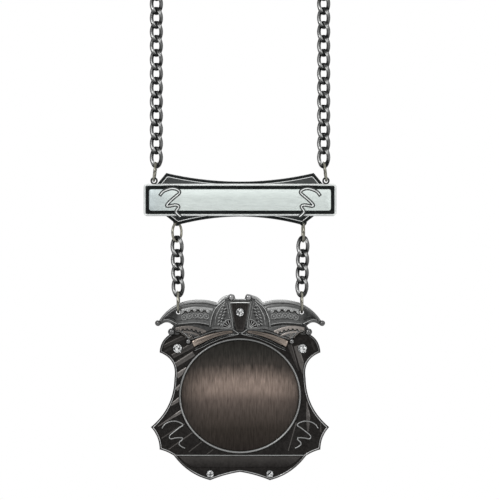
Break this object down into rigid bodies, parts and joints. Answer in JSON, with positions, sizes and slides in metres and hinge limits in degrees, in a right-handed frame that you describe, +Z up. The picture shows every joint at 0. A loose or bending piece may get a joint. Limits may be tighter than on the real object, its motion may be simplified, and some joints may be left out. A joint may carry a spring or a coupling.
{
  "type": "carnival order medal",
  "caption": "Carnival order worn on a neck chain: a shield medal with a fool's cap, a blank round field and cut stones, hung on short curb chains from a framed name bar.",
  "frame": {"origin": "middle of the chain at the nape, where the wearer's neck carries it", "axes": "+X to the viewer's right, +Y away from the viewer, +Z up; the medal faces -Y"},
  "size_m": [0.1165, 0.1106, 0.2936],
  "materials": {
    "gunmetal": "antique dark plating, raised edges rubbed bright",
    "silver": "bright silver plating, brushed plate, blackened recesses",
    "chain": "polished dark nickel",
    "jump_ring": "polished pale nickel",
    "crystal": "cut clear crystal"
  },
  "bodies": {
    "neck_chain": {"neck_chain_left": "chain", "neck_chain_right": "chain", "neck_ring_left": "jump_ring", "neck_ring_right": "jump_ring"},
    "name_bar": {"name_bar": "silver", "bar_ring_left": "jump_ring", "bar_ring_right": "jump_ring", "hanger_link_left_1": "chain", "hanger_link_left_2": "chain", "hanger_link_left_3": "chain", "hanger_link_left_4": "chain", "hanger_link_right_1": "chain", "hanger_link_right_2": "chain", "hanger_link_right_3": "chain", "hanger_link_right_4": "chain", "medal_ring_left": "jump_ring", "medal_ring_right": "jump_ring"},
    "medal": {"medal": "gunmetal", "stone_cap": "crystal", "stone_left": "crystal", "stone_right": "crystal", "stone_foot_left": "crystal", "stone_foot_right": "crystal"}
  },
  "joints": [
    {"name": "bar_swing", "type": "hinge", "parent": "neck_chain", "child": "name_bar", "pos_m": [0, -0.104, -0.1573], "axis": [1, 0, 0], "range_deg": [-60, 60]},
    {"name": "medal_swing", "type": "hinge", "parent": "name_bar", "child": "medal", "pos_m": [0, -0.104, -0.21376], "axis": [1, 0, 0], "range_deg": [-75, 75]}
  ]
}
